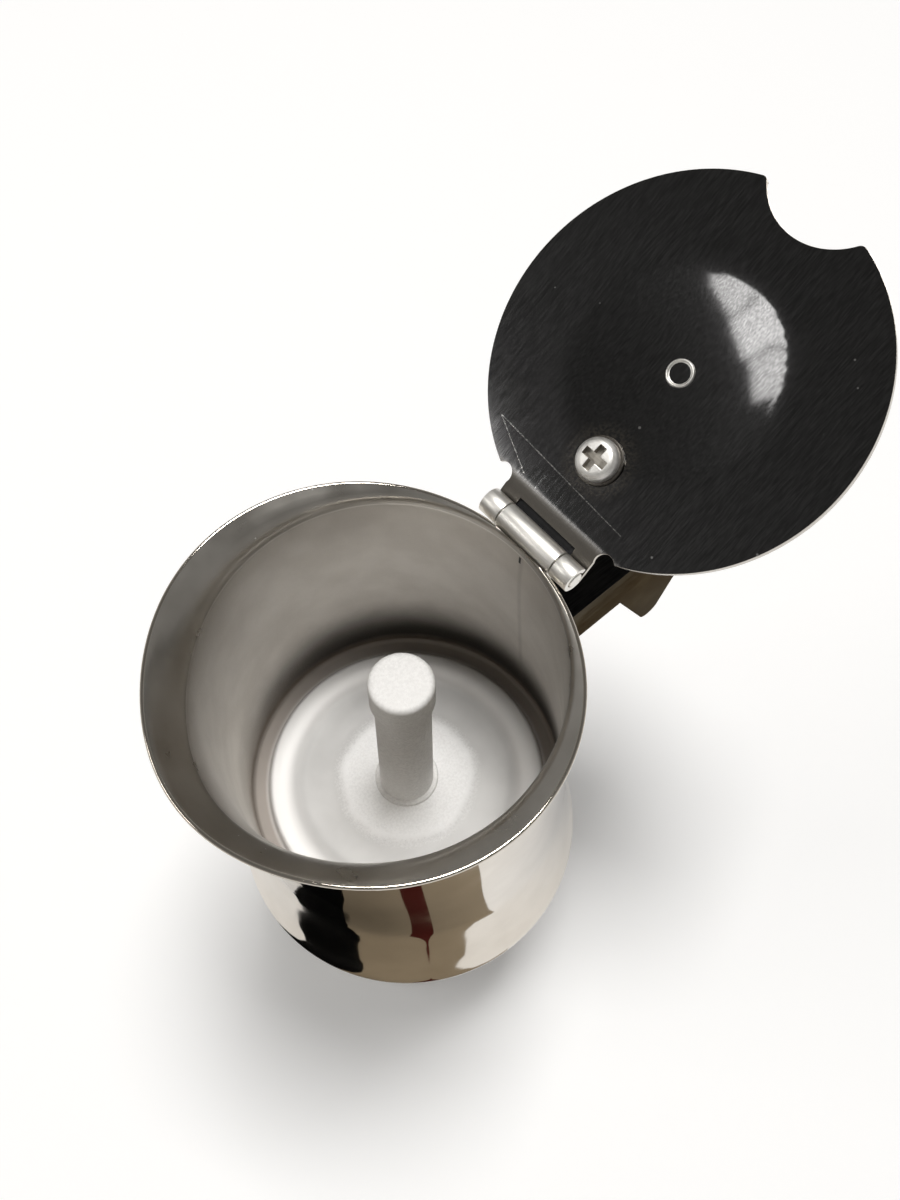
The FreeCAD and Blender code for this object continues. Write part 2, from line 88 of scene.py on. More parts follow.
def spinProfile(bm, points, segments, centre=(0, 0, 0), axis=(0, 0, 1)):
    # points are (radius, height) in mm, turned once about the axis; start and end may lie on it
    verts = [bm.verts.new((r * mm, 0, z * mm)) for r, z in points]
    edges = [bm.edges.new(pair) for pair in zip(verts, verts[1:])]
    bmesh.ops.spin(bm, geom=verts + edges, cent=(0, 0, 0), axis=(0, 0, 1), dvec=(0, 0, 0),
                   angle=2 * math.pi, steps=segments, use_merge=True, use_duplicate=False)
    bmesh.ops.remove_doubles(bm, verts=bm.verts, dist=1e-7)
    bmesh.ops.recalc_face_normals(bm, faces=bm.faces)
    turn = Vector((0, 0, 1)).rotation_difference(Vector(axis)).to_matrix().to_4x4()
    bmesh.ops.transform(bm, matrix=Matrix.Translation(centre) @ turn, verts=bm.verts)


def roundCorner(points, steps=4):
    # rounds the corners of an open (radius, height) line that have a third number, their radius
    out = [points[0][:2]]
    for before, corner, after in zip(points, points[1:], points[2:]):
        if len(corner) < 3:
            out.append(corner)
            continue
        c = Vector(corner[:2])
        a = Vector(before[:2]) - c
        b = Vector(after[:2]) - c
        reach = min(corner[2], a.length * 0.48, b.length * 0.48)
        start = c + a.normalized() * reach
        end = c + b.normalized() * reach
        for i in range(steps + 1):
            t = i / steps
            out.append(tuple((1 - t) ** 2 * start + 2 * t * (1 - t) * c + t ** 2 * end))
    out.append(points[-1][:2])
    return out


def arcFrom(bm, vert, centre, degrees, steps):
    # carries an outline on from a vertex along an arc about a centre in mm, and gives its end
    made = bmesh.ops.spin(bm, geom=[vert], cent=(centre[0] * mm, centre[1] * mm, 0), axis=(0, 0, 1),
                          dvec=(0, 0, 0), angle=math.radians(degrees), steps=steps, use_merge=False,
                          use_duplicate=False)
    return next(g for g in made["geom_last"] if isinstance(g, bmesh.types.BMVert))


def lineTo(bm, vert, x, y):
    end = bm.verts.new((x * mm, y * mm, 0))
    bm.edges.new((vert, end))
    return end


def softCopy(node, width, segments, degrees):
    bm = bmesh.new()
    bm.from_mesh(frame["nodes"][node].data)
    bmesh.ops.remove_doubles(bm, verts=bm.verts, dist=2e-6)
    bmesh.ops.dissolve_limit(bm, angle_limit=math.radians(0.6), verts=bm.verts, edges=bm.edges)
    bevelEdges(bm, sharpEdges(bm, degrees), width, segments)
    return bm


def openLid(bm):
    # the lid's pieces are drawn closed, from the hinge line at the origin, and swung open here
    bmesh.ops.transform(bm, matrix=lidTurn, verts=bm.verts)


# Node groups that several finishes share

def newGroup(name, inputs, outputs):
    group = bpy.data.node_groups.new(name, "ShaderNodeTree")
    for label, kind, value in inputs:
        socket = group.interface.new_socket(label, in_out="INPUT", socket_type=kind)
        if value is not None:
            socket.default_value = value
    for label, kind in outputs:
        group.interface.new_socket(label, in_out="OUTPUT", socket_type=kind)
    return group, group.nodes.new("NodeGroupInput"), group.nodes.new("NodeGroupOutput")


def addNode(tree, kind, **settings):
    node = tree.nodes.new(kind)
    for key, value in settings.items():
        setattr(node, key, value)
    return node


def mathNode(tree, operation, first, second=None):
    node = addNode(tree, "ShaderNodeMath", operation=operation)
    for socket, value in zip(node.inputs, (first, second)):
        if value is None:
            continue
        if isinstance(value, (int, float)):
            socket.default_value = value
        else:
            tree.links.new(value, socket)
    return node.outputs[0]


def rangeNode(tree, value, low, high, toLow=0.0, toHigh=1.0):
    node = addNode(tree, "ShaderNodeMapRange", interpolation_type="SMOOTHSTEP")
    tree.links.new(value, node.inputs["Value"])
    node.inputs["From Min"].default_value = low
    node.inputs["From Max"].default_value = high
    node.inputs["To Min"].default_value = toLow
    node.inputs["To Max"].default_value = toHigh
    return node.outputs["Result"]


def makeGrainGroup():
    inputs = [("Vector", "NodeSocketVector", None), ("Scale", "NodeSocketFloat", 3000.0)]
    outputs = [("Value", "NodeSocketFloat"), ("Cloud", "NodeSocketFloat")]
    group, source, sink = newGroup("fineGrain", inputs, outputs)
    fine = addNode(group, "ShaderNodeTexNoise")
    fine.inputs["Detail"].default_value = 3.0
    fine.inputs["Roughness"].default_value = 0.7
    cloud = addNode(group, "ShaderNodeTexNoise")
    cloud.inputs["Scale"].default_value = 90.0
    cloud.inputs["Detail"].default_value = 4.0
    group.links.new(source.outputs["Vector"], fine.inputs["Vector"])
    group.links.new(source.outputs["Scale"], fine.inputs["Scale"])
    group.links.new(source.outputs["Vector"], cloud.inputs["Vector"])
    group.links.new(fine.outputs["Fac"], sink.inputs["Value"])
    group.links.new(cloud.outputs["Fac"], sink.inputs["Cloud"])
    return group


def makeBrushGroup():
    # lines that run along the vector's X
    inputs = [("Vector", "NodeSocketVector", None), ("Scale", "NodeSocketFloat", 1.0)]
    group, source, sink = newGroup("brushLines", inputs, [("Value", "NodeSocketFloat")])
    stretch = addNode(group, "ShaderNodeMapping", vector_type="POINT")
    stretch.inputs["Scale"].default_value = (160.0, 4200.0, 4200.0)
    lines = addNode(group, "ShaderNodeTexNoise")
    lines.inputs["Detail"].default_value = 4.0
    lines.inputs["Roughness"].default_value = 0.75
    group.links.new(source.outputs["Vector"], stretch.inputs["Vector"])
    group.links.new(stretch.outputs["Vector"], lines.inputs["Vector"])
    group.links.new(source.outputs["Scale"], lines.inputs["Scale"])
    group.links.new(lines.outputs["Fac"], sink.inputs["Value"])
    return group


def makeSpeckGroup():
    # small dust dots: a few of the cells, each a little disc
    inputs = [("Vector", "NodeSocketVector", None), ("Scale", "NodeSocketFloat", 500.0),
              ("Share", "NodeSocketFloat", 0.12), ("Size", "NodeSocketFloat", 0.16)]
    group, source, sink = newGroup("dustSpecks", inputs, [("Mask", "NodeSocketFloat")])
    cells = addNode(group, "ShaderNodeTexVoronoi", feature="F1")
    group.links.new(source.outputs["Vector"], cells.inputs["Vector"])
    group.links.new(source.outputs["Scale"], cells.inputs["Scale"])
    parts = addNode(group, "ShaderNodeSeparateColor")
    group.links.new(cells.outputs["Color"], parts.inputs["Color"])
    chosen = mathNode(group, "LESS_THAN", parts.outputs["Red"], source.outputs["Share"])
    size = mathNode(group, "MULTIPLY", parts.outputs["Green"], source.outputs["Size"])
    inside = mathNode(group, "LESS_THAN", cells.outputs["Distance"], size)
    group.links.new(mathNode(group, "MULTIPLY", chosen, inside), sink.inputs["Mask"])
    return group


grainGroup = makeGrainGroup()
brushGroup = makeBrushGroup()
speckGroup = makeSpeckGroup()


# Finishes

class Finish:
    def __init__(self, name, metallic, roughness):
        self.material = bpy.data.materials.new(name)
        self.material.use_nodes = True
        self.tree = self.material.node_tree
        self.shader = self.tree.nodes["Principled BSDF"]
        self.shader.inputs["Metallic"].default_value = metallic
        self.shader.inputs["Roughness"].default_value = roughness
        self.place = addNode(self.tree, "ShaderNodeTexCoord").outputs["Object"]

    def group(self, group, vector=None, **values):
        node = addNode(self.tree, "ShaderNodeGroup", node_tree=group)
        self.tree.links.new(vector or self.place, node.inputs["Vector"])
        for key, value in values.items():
            node.inputs[key].default_value = value
        return node

    def mapped(self, location=(0, 0, 0), rotation=(0, 0, 0)):
        node = addNode(self.tree, "ShaderNodeMapping", vector_type="TEXTURE")
        node.inputs["Location"].default_value = location
        node.inputs["Rotation"].default_value = rotation
        self.tree.links.new(self.place, node.inputs["Vector"])
        return node.outputs["Vector"]

    def axes(self, vector=None):
        node = addNode(self.tree, "ShaderNodeSeparateXYZ")
        self.tree.links.new(vector or self.place, node.inputs["Vector"])
        return node.outputs["X"], node.outputs["Y"], node.outputs["Z"]

    def mix(self, mask, first, second):
        node = addNode(self.tree, "ShaderNodeMix", data_type="RGBA", blend_type="MIX")
        for label, value in (("Factor", mask), ("A", first), ("B", second)):
            socket = node.inputs[label]
            if isinstance(value, (int, float)):
                socket.default_value = value
            elif isinstance(value, tuple):
                socket.default_value = (*value, 1.0)
            else:
                self.tree.links.new(value, socket)
        return node.outputs["Result"]

    def math(self, operation, first, second=None):
        return mathNode(self.tree, operation, first, second)

    def range(self, value, low, high, toLow=0.0, toHigh=1.0):
        return rangeNode(self.tree, value, low, high, toLow, toHigh)

    def colour(self, value):
        self.tree.links.new(value, self.shader.inputs["Base Color"])

    def rough(self, value):
        self.tree.links.new(value, self.shader.inputs["Roughness"])

    def bump(self, height, strength, distance):
        node = addNode(self.tree, "ShaderNodeBump")
        node.inputs["Strength"].default_value = strength
        node.inputs["Distance"].default_value = distance * mm
        self.tree.links.new(height, node.inputs["Height"])
        self.tree.links.new(node.outputs["Normal"], self.shader.inputs["Normal"])


def polishedSteel():
    f = Finish("polishedSteel", 1.0, 0.08)
    grain = f.group(grainGroup, Scale=1400.0)
    cloud = f.range(grain.outputs["Cloud"], 0.3, 0.7)
    # steel's own colour, warmed as a painted reflection of a beige surround
    f.colour(f.mix(cloud, (0.59, 0.54, 0.47), (0.66, 0.61, 0.54)))
    f.rough(f.range(grain.outputs["Cloud"], 0.25, 0.75, 0.04, 0.08))
    return f.material


def satinSteel(name, dark, light, low, high, strength=0.12):
    f = Finish(name, 1.0, (low + high) / 2)
    grain = f.group(grainGroup, Scale=2200.0)
    f.colour(f.mix(f.range(grain.outputs["Cloud"], 0.3, 0.7), dark, light))
    f.rough(f.range(grain.outputs["Value"], 0.3, 0.7, low, high))
    if strength:
        f.bump(grain.outputs["Value"], strength, 0.05)
    return f.material


def insideSteel():
    # satin wall inside the jug: a painted shade band above the floor, painted shade where the wall meets
    # the floor, the weld seam and a nick under the hinge
    f = Finish("insideSteel", 1.0, 0.42)
    x, y, z = f.axes()
    grain = f.group(grainGroup, Scale=2600.0)
    cloud = f.range(grain.outputs["Cloud"], 0.3, 0.7)
    base = f.mix(cloud, (0.62, 0.585, 0.535), (0.70, 0.665, 0.615))
    wander = f.math("MULTIPLY", grain.outputs["Cloud"], 0.003)
    height = f.math("ADD", f.math("SUBTRACT", z, floorZ), wander)
    # painted shade where the wall meets the floor
    foot = f.range(height, 0.003, 0.006, 0.6, 0.0)
    base = f.mix(foot, base, (0.30, 0.25, 0.21))
    # painted shade in a band above the floor
    shadeBand = f.math("MULTIPLY", f.range(height, 0.002, 0.006), f.range(height, 0.008, 0.026, 1.0, 0.0))
    side = f.math("ADD", f.math("MULTIPLY", x, 0.866), f.math("MULTIPLY", y, 0.5))
    shadeBySide = f.range(side, -0.022, 0.028, 0.2, 0.95)  # painted shade, strongest below the hinge
    base = f.mix(f.math("MULTIPLY", shadeBand, shadeBySide), base, (0.055, 0.049, 0.043))
    hingeSide = f.math("GREATER_THAN", x, 0.01)
    off = f.math("ABSOLUTE", f.math("ADD", y, 0.0008))
    seam = f.math("MULTIPLY", f.range(off, 0.0001, 0.0009, 0.2, 0.0), hingeSide)
    base = f.mix(seam, base, (0.22, 0.20, 0.18))
    along = f.math("ABSOLUTE", f.math("SUBTRACT", z, rimZ - nickDrop * mm))
    beside = f.math("ABSOLUTE", f.math("ADD", y, 0.0004))
    nick = f.math("MULTIPLY", f.range(along, 0.0009, 0.0012, 1.0, 0.0),
                  f.range(beside, 0.0002, 0.00032, 1.0, 0.0))
    base = f.mix(f.math("MULTIPLY", nick, hingeSide), base, (0.012, 0.012, 0.012))
    f.colour(base)
    f.rough(f.range(grain.outputs["Value"], 0.3, 0.7, 0.38, 0.48))
    f.bump(grain.outputs["Value"], 0.1, 0.04)
    return f.material


def flareSteel():
    # darker band inside the rim, with dust specks and a painted highlight along the throat crease
    f = Finish("flareSteel", 1.0, 0.3)
    grain = f.group(grainGroup, Scale=2200.0)
    specks = f.group(speckGroup, Scale=520.0, Share=0.13, Size=0.12)
    cloud = f.range(grain.outputs["Cloud"], 0.3, 0.7)
    base = f.mix(cloud, (0.45, 0.425, 0.385), (0.54, 0.515, 0.475))
    x, z = f.axes()[::2]
    # painted highlight along the crease between wall and flare
    throat = f.math("SUBTRACT", z, f.math("MULTIPLY", x, throatSlope))
    edge = f.range(throat, throatZ + 0.0002, throatZ + 0.0006, 0.8, 0.0)
    base = f.mix(edge, base, (0.86, 0.83, 0.78))
    f.colour(f.mix(specks.outputs["Mask"], base, (0.9, 0.9, 0.88)))
    f.rough(f.range(grain.outputs["Cloud"], 0.25, 0.75, 0.26, 0.34))
    f.bump(grain.outputs["Value"], 0.08, 0.03)
    return f.material


def blastedFloor():
    # collector floor: pale outer ring, grey disc, a rough white patch round the column and painted shade in
    # the groove by the wall
    f = Finish("blastedFloor", 0.3, 0.6)
    x, y = f.axes()[:2]
    grain = f.group(grainGroup, Scale=1900.0)
    radius = f.math("SQRT", f.math("ADD", f.math("MULTIPLY", x, x), f.math("MULTIPLY", y, y)))
    wander = f.math("ADD", f.math("MULTIPLY", grain.outputs["Cloud"], 0.004),
                    f.math("MULTIPLY", grain.outputs["Value"], 0.0035))
    patch = f.range(f.math("ADD", radius, wander), 0.0172, 0.0204, 1.0, 0.0)
    ring = f.range(radius, 0.0228, 0.0262)
    cloud = f.range(grain.outputs["Cloud"], 0.3, 0.7)
    disc = f.mix(cloud, (0.52, 0.513, 0.50), (0.58, 0.572, 0.558))
    disc = f.mix(ring, disc, (0.92, 0.905, 0.885))
    fine = f.range(grain.outputs["Value"], 0.35, 0.65)
    rough = f.mix(fine, (0.90, 0.895, 0.885), (0.99, 0.985, 0.975))
    # painted shade in the groove between the ring and the wall
    edge = f.range(radius, 0.0298, 0.0316, 0.0, 0.9)
    f.colour(f.mix(edge, f.mix(patch, disc, rough), (0.28, 0.24, 0.205)))
    f.rough(f.range(patch, 0.0, 1.0, 0.58, 0.85))
    f.tree.links.new(f.range(patch, 0.0, 1.0, 0.3, 0.0), f.shader.inputs["Metallic"])
    relief = f.range(patch, 0.0, 1.0, 0.2, 1.0)
    f.bump(f.math("MULTIPLY", grain.outputs["Value"], relief), 0.4, 0.1)
    return f.material


def castColumn():
    f = Finish("castColumn", 0.1, 0.62)
    grain = f.group(grainGroup, Scale=1700.0)
    fine = f.range(grain.outputs["Value"], 0.35, 0.65)
    base = f.mix(fine, (0.78, 0.77, 0.75), (0.92, 0.91, 0.89))
    cloud = f.range(grain.outputs["Cloud"], 0.35, 0.7, 0.0, 0.4)
    f.colour(f.mix(cloud, base, (0.78, 0.765, 0.74)))
    f.rough(f.range(grain.outputs["Value"], 0.3, 0.7, 0.5, 0.72))
    f.bump(grain.outputs["Value"], 0.45, 0.1)
    return f.material


def paintedDarkLid():
    # brushed underside, painted dark for a dark reflection of the room: lines run from the hinge to the
    # notch, two creases near the hinge
    f = Finish("paintedDarkLid", 1.0, 0.3)
    local = f.mapped(hingePoint, (0, lidOpenAngle, 0))
    x, y = f.axes(local)[:2]
    reach = f.math("MULTIPLY", x, -1000.0)  # mm from the hinge line
    across = f.math("MULTIPLY", y, 1000.0)
    lines = f.group(brushGroup, local, Scale=2.1)
    strokes = f.group(brushGroup, local, Scale=0.4)
    grain = f.group(grainGroup, local, Scale=2000.0)
    specks = f.group(speckGroup, local, Scale=330.0, Share=0.15, Size=0.14)
    brushed = f.range(lines.outputs["Value"], 0.38, 0.72)
    # near-black base: painted dark reflection
    base = f.mix(brushed, (0.078, 0.0775, 0.078), (0.19, 0.189, 0.191))
    cloud = f.range(grain.outputs["Cloud"], 0.5, 0.8, 0.0, 0.25)
    base = f.mix(cloud, base, (0.15, 0.149, 0.15))
    # the tab by the hinge: lighter brown painted reflection in the bend, and matt
    tab = f.range(reach, 5.6, 7.6, 0.85, 0.0)
    base = f.mix(tab, base, (0.12, 0.109, 0.094))
    past = f.math("POWER", f.math("SUBTRACT", reach, screwReach), 2.0)
    beside = f.math("MULTIPLY", across, across)
    fromScrew = f.math("SQRT", f.math("ADD", past, beside))
    halo = f.range(fromScrew, 5.0, 8.2, 0.8, 0.0)
    halo = f.math("MULTIPLY", halo, f.range(grain.outputs["Value"], 0.4, 0.62))
    base = f.mix(halo, base, (0.27, 0.25, 0.22))
    scuff = f.range(grain.outputs["Value"], 0.42, 0.62, 0.15, 0.85)
    scraped = f.math("MULTIPLY", f.range(reach, 6.6, 7.6), f.range(reach, 10.2, 11.6, 1.0, 0.0))
    scraped = f.math("MULTIPLY", scraped, f.range(across, -3.0, 1.0))
    scraped = f.math("MULTIPLY", scraped, f.range(across, 9.0, 14.0, 1.0, 0.0))
    scraped = f.math("MULTIPLY", scraped, f.range(strokes.outputs["Value"], 0.60, 0.68))
    base = f.mix(f.math("MULTIPLY", scraped, scuff), base, (0.6, 0.6, 0.6))
    for low, high in lidCreases:
        run = (high[0] - low[0]) / (high[1] - low[1])
        onLine = f.math("MULTIPLY_ADD", across, run)
        onLine.node.inputs[2].default_value = low[0] - run * low[1]
        off = f.math("ABSOLUTE", f.math("SUBTRACT", reach, onLine))
        inside = f.math("MULTIPLY", f.math("GREATER_THAN", across, low[1]),
                        f.math("LESS_THAN", across, high[1]))
        mark = f.math("MULTIPLY", f.range(off, 0.04, 0.15, 1.0, 0.0), inside)
        base = f.mix(f.math("MULTIPLY", mark, scuff), base, (0.82, 0.81, 0.79))
    base = f.mix(specks.outputs["Mask"], base, (0.7, 0.7, 0.7))
    f.colour(base)
    matt = f.math("MULTIPLY", tab, 0.5)
    gloss = f.range(lines.outputs["Value"], 0.3, 0.7, 0.06, 0.10)
    f.rough(f.math("ADD", gloss, matt))
    f.bump(lines.outputs["Value"], 0.05, 0.02)
    return f.material


def scratchedSteel(name, dark, light, low, high):
    # bright steel with fine lines along Y, as on the hinge and the screw
    f = Finish(name, 1.0, (low + high) / 2)
    lines = f.group(brushGroup, f.mapped(rotation=(0, 0, math.radians(90))), Scale=0.5)
    f.colour(f.mix(f.range(lines.outputs["Value"], 0.35, 0.7), dark, light))
    f.rough(f.range(lines.outputs["Value"], 0.3, 0.7, low, high))
    return f.material


def brushedHandle(name, dark, light, worn):
    f = Finish(name, 1.0, 0.3)
    lines = f.group(brushGroup)
    grain = f.group(grainGroup, Scale=1800.0)
    base = f.mix(f.range(lines.outputs["Value"], 0.35, 0.7), dark, light)
    f.colour(f.mix(f.range(grain.outputs["Cloud"], 0.5, 0.8, 0.0, 0.5), base, worn))
    f.rough(f.range(lines.outputs["Value"], 0.3, 0.7, 0.32, 0.44))
    f.shader.inputs["Specular Tint"].default_value = (0.3, 0.27, 0.23, 1.0)  # dull when seen edge on
    f.bump(lines.outputs["Value"], 0.1, 0.04)
    return f.material


def turnedBrass():
    f = Finish("turnedBrass", 1.0, 0.26)
    grain = f.group(grainGroup, Scale=1500.0)
    cloud = f.range(grain.outputs["Cloud"], 0.3, 0.7)
    f.colour(f.mix(cloud, (0.62, 0.46, 0.20), (0.75, 0.58, 0.28)))
    f.rough(f.range(grain.outputs["Value"], 0.3, 0.7, 0.2, 0.34))
    f.bump(grain.outputs["Value"], 0.1, 0.04)
    return f.material


def softSolid(name, dark, light, low, high, strength):
    # rubber, fibre and moulded plastic
    f = Finish(name, 0.0, (low + high) / 2)
    grain = f.group(grainGroup, Scale=1600.0)
    f.colour(f.mix(f.range(grain.outputs["Cloud"], 0.3, 0.7), dark, light))
    f.rough(f.range(grain.outputs["Value"], 0.3, 0.7, low, high))
    f.bump(grain.outputs["Value"], strength, 0.06)
    return f.material


# Places that finishes need; those on the lid are in mm from the hinge line and across it

screwReach = 18.3
lidCreases = [((11.0, -12.1), (12.9, 20.4)), ((7.7, 9.5), (12.9, 20.4))]
ringHeight = 1.4  # raised ring of the collector floor, in mm
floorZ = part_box("collector_floor")[1].z - ringHeight * mm
nickDrop = 3.8  # mm below the rim, on the wall under the hinge
throatRing = (139.9, 4.8, 34.0, 34.0, 5.7, 1.0)  # ring of the jug between wall and flare
throatSlope = math.tan(math.radians(throatRing[4]))  # it leans to the hinge
throatZ = (throatRing[0] + throatRing[1] * throatSlope) * mm

polished = polishedSteel()
inside = insideSteel()
flare = flareSteel()
blasted = blastedFloor()
column = castColumn()
lidUnder = paintedDarkLid()
hingeBright = scratchedSteel("hingeBright", (0.80, 0.78, 0.735), (0.93, 0.91, 0.865), 0.38, 0.48)
screwBright = scratchedSteel("screwBright", (0.92, 0.90, 0.86), (0.97, 0.955, 0.92), 0.42, 0.54)
# painted shade in the screw's recess
screwRecess = scratchedSteel("screwRecess", (0.34, 0.315, 0.275), (0.50, 0.475, 0.43), 0.4, 0.55)
washerDark = satinSteel("washerDark", (0.06, 0.056, 0.05), (0.11, 0.10, 0.088), 0.3, 0.44)
handleSteel = brushedHandle("handleSteel", (0.075, 0.068, 0.057), (0.125, 0.115, 0.098),
                            (0.155, 0.142, 0.123))
# painted shade on the top of the web between the cheeks
handleWebShade = brushedHandle("handleWebShade", (0.014, 0.014, 0.015), (0.03, 0.03, 0.031),
                           (0.045, 0.044, 0.043))
lidOuter = satinSteel("lidOuter", (0.50, 0.465, 0.41), (0.60, 0.56, 0.50), 0.26, 0.38, strength=0.0)
satin = satinSteel("satinSteel", (0.60, 0.585, 0.56), (0.68, 0.665, 0.64), 0.26, 0.40)
stemSteel = satinSteel("stemSteel", (0.66, 0.65, 0.64), (0.74, 0.73, 0.71), 0.16, 0.26)
brass = turnedBrass()
silicone = softSolid("silicone", (0.74, 0.73, 0.69), (0.84, 0.83, 0.79), 0.5, 0.66, 0.1)
fibre = softSolid("fibre", (0.36, 0.11, 0.08), (0.48, 0.17, 0.12), 0.62, 0.8, 0.3)
gripBlack = softSolid("gripBlack", (0.008, 0.008, 0.0085), (0.016, 0.016, 0.017), 0.5, 0.66, 0.2)
gripBlack.node_tree.nodes["Principled BSDF"].inputs["Specular IOR Level"].default_value = 0.2
print("finishes ready")


# Jug: rings carried up the outside, over the rim and down the inside

jugSizes = {
    "segments": 144,
    "wall": 0.9,
    "lip": 1.9,  # how far the pouring side is drawn out
    "lipPower": 6,
    "rollTurn": 130,  # degrees of the rolled edge, from the outside over the top
    "rollSteps": 8,
    "rollDrop": 0.6,  # keeps its top level with the rim, as a share of half the wall
    "levels": 44,
    "closeLevels": [50.6, 51.2, 53.0, throatRing[0], 141.0, 142.0, 144.0, 144.8],  # at hem and flare
    "relief": 2.88,  # from the hinge's axis
    "rings": [  # height, shift to the pouring side, half length, half width, lean, share of the lip
        (50.0, 0.0, 39.2, 39.2, 0.0, 0.0),
        (51.2, 0.0, 39.75, 39.75, 0.0, 0.0),
        (53.0, 0.0, 39.55, 39.55, 0.0, 0.0),
        (60.0, 0.0, 37.85, 37.85, 0.0, 0.0),
        (70.0, 0.0, 36.05, 36.05, 0.0, 0.0),
        (79.0, 0.0, 34.95, 34.95, 0.0, 0.0),
        (107.5, 2.4, 34.1, 34.1, 2.0, 0.0),
        (130.5, 4.2, 33.6, 33.6, 4.5, 0.33),
        throatRing,
        (143.1, 6.2, 35.2, 35.2, 3.0, 1.0),
        (145.5, 7.45, 36.45, 38.65, 0.0, 1.0),
    ],
}


def jugRingAt(height):
    # smooth values between the rings, by a cubic through each pair and its neighbours
    rings = jugSizes["rings"]
    i = max(k for k in range(len(rings) - 1) if rings[k][0] <= height or k == 0)
    low, high = rings[i], rings[i + 1]
    span = high[0] - low[0]
    t = (height - low[0]) / span
    out = []
    for k in range(1, 6):
        slopes = []
        for j in (i, i + 1):
            a = rings[max(j - 1, 0)]
            b = rings[min(j + 1, len(rings) - 1)]
            slopes.append((b[k] - a[k]) / (b[0] - a[0]) * span)
        out.append((2 * t ** 3 - 3 * t ** 2 + 1) * low[k] + (t ** 3 - 2 * t ** 2 + t) * slopes[0]
                   + (3 * t ** 2 - 2 * t ** 3) * high[k] + (t ** 3 - t ** 2) * slopes[1])
    return out


def addJugRing(bm, height, grow, raised=0.0):
    shift, halfLength, halfWidth, lean, share = jugRingAt(height)
    made = bmesh.ops.create_circle(bm, cap_ends=False, segments=jugSizes["segments"], radius=1.0)["verts"]
    for v in made:
        draw = share * jugSizes["lip"] * max(0.0, -v.co.x) ** jugSizes["lipPower"]
        v.co = Vector(((halfLength + grow) * v.co.x - draw, (halfWidth + grow) * v.co.y, 0)) * mm
    tilt = Matrix.Rotation(-math.radians(lean), 4, "Y")
    place = Matrix.Translation((-shift * mm, 0, (height + raised) * mm))
    bmesh.ops.transform(bm, matrix=place @ tilt, verts=made)
    return list({e for v in made for e in v.link_edges})


def makeJug():
    s = jugSizes
    bm = bmesh.new()
    low, high = s["rings"][0][0], s["rings"][-1][0]
    levels = [low + (high - low) * i / s["levels"] for i in range(s["levels"] + 1)]
    levels = sorted(set(levels + s["closeLevels"]))
    half = s["wall"] / 2
    loops = [(addJugRing(bm, h, 0.0), 0) for h in levels[:-1]]  # ring and its finish
    for i in range(s["rollSteps"] + 1):
        angle = math.radians(s["rollTurn"]) * i / s["rollSteps"]
        raised = half * (math.sin(angle) - s["rollDrop"])
        loops.append((addJugRing(bm, high, half * math.cos(angle) - half, raised), 0))
    for h in reversed(levels[:-1]):
        loops.append((addJugRing(bm, h, -s["wall"]), 2 if h >= throatRing[0] else 1))
    for i in range(len(loops)):
        made = bmesh.ops.bridge_loops(bm, edges=loops[i - 1][0] + loops[i][0])
        for face in made["faces"]:
            face.material_index = loops[i][1]
    for v in bm.verts:  # relief in the rim, in which the knuckles turn
        away = Vector((v.co.x - hingePoint.x, v.co.z - hingePoint.z))
        if away.length < s["relief"] * mm:
            away = away.normalized() * s["relief"] * mm
            v.co.x = hingePoint.x + away.x
            v.co.z = hingePoint.z + away.y
    bmesh.ops.recalc_face_normals(bm, faces=bm.faces)
    finishMesh(bm, "jugBody", "jug", [polished, inside, flare], ["jug_shell"], 60)


# Collector floor and column

floorSizes = {"segments": 144, "top": 77.3, "under": 72.3, "ringIn": 24.1, "ringOut": 30.1, "hub": 14.4,
              "hubHeight": 0.5, "bore": 5.9, "wall": 34.3, "wallUnder": 34.9}


def makeCollectorFloor():
    s = floorSizes
    bm = bmesh.new()
    line = [
        (s["bore"], s["under"]),
        (s["wallUnder"], s["under"]),
        (s["wall"], s["top"] + 1.2),
        (s["wall"] - 0.6, s["top"] + 0.1, 1.0),
        (s["ringOut"] + 0.5, s["top"], 0.5),
        (s["ringOut"], s["top"] + ringHeight, 1.0),
        (s["ringIn"] + 2.4, s["top"] + ringHeight, 1.8),
        (s["ringIn"] - 0.8, s["top"], 1.8),
        (s["hub"] + 1.6, s["top"], 1.5),
        (s["hub"] - 1.6, s["top"] + s["hubHeight"], 1.5),
        (s["bore"], s["top"] + s["hubHeight"]),
        (s["bore"], s["under"]),
    ]
    spinProfile(bm, roundCorner(line, 5), s["segments"])
    finishMesh(bm, "collectorFloor", "jug", [blasted], ["collector_floor"], 50)


columnSizes = {"segments": 96, "edge": 0.18, "topRadius": 5.5, "capGap": 0.05, "capRadius": 6.35,
               "capUnder": 120.5, "capSink": 1.0, "capTop": 128.5, "capRound": 1.3}


def makeColumn():
    s = columnSizes
    bm = softCopy("column_tube", s["edge"], 2, 50)
    finishMesh(bm, "columnTube", "jug", [column], ["column_tube"], 50)
    bm = bmesh.new()
    line = [
        (0.0, s["capUnder"] + s["capSink"]),
        (s["topRadius"] + s["capGap"], s["capUnder"] + s["capSink"]),
        (s["topRadius"] + s["capGap"], s["capUnder"], 0.2),
        (s["capRadius"], s["capUnder"], 0.5),
        (s["capRadius"], s["capTop"], s["capRound"]),
        (0.0, s["capTop"]),
    ]
    spinProfile(bm, roundCorner(line, 6), s["segments"])
    finishMesh(bm, "columnCap", "jug", [column], ["column_cap"], 50)


# Boiler

